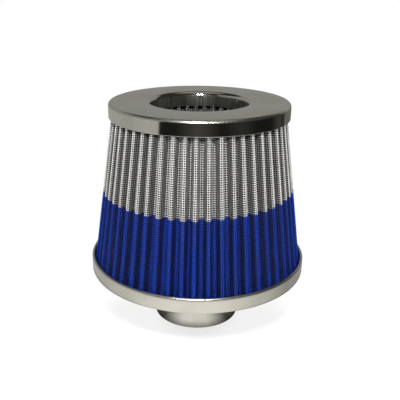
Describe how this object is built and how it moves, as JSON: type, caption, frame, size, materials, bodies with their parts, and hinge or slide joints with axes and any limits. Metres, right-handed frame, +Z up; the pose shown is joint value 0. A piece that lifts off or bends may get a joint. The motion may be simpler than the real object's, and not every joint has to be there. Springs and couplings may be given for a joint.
{
  "type": "performance air filter",
  "caption": "Conical pleated air filter with a metal cap, an inverted inner cone in the open top, a metal base pan and a tubular neck.",
  "frame": {"origin": "centre of the neck's lower rim, where the filter stands", "axes": "+Z up along the axis, from the neck to the cap"},
  "size_m": [0.15, 0.15, 0.155],
  "materials": {
    "cap_metal": "polished chrome",
    "pan_metal": "polished, slightly warm",
    "neck_metal": "satin",
    "outer_wire": "bare silver wire above, blue paint below a level line",
    "gauze": "dark cotton gauze",
    "inner_wire": "woven wire",
    "cone_wire": "woven wire",
    "clip_metal": "bare sheet",
    "adhesive": "cast, satin",
    "cup_metal": "polished"
  },
  "bodies": {
    "root": {"top_cap": "cap_metal", "base_pan": "pan_metal", "neck_tube": "neck_metal", "outer_screen": "outer_wire", "cotton_gauze": "gauze", "inner_screen": "inner_wire", "seam_clip": "clip_metal", "upper_potting": "adhesive", "lower_potting": "adhesive", "cone_front_screen": "cone_wire", "cone_gauze": "gauze", "cone_back_screen": "inner_wire", "cone_seam_clip": "clip_metal", "cone_cup": "cup_metal", "cone_potting": "adhesive"}
  },
  "joints": []
}
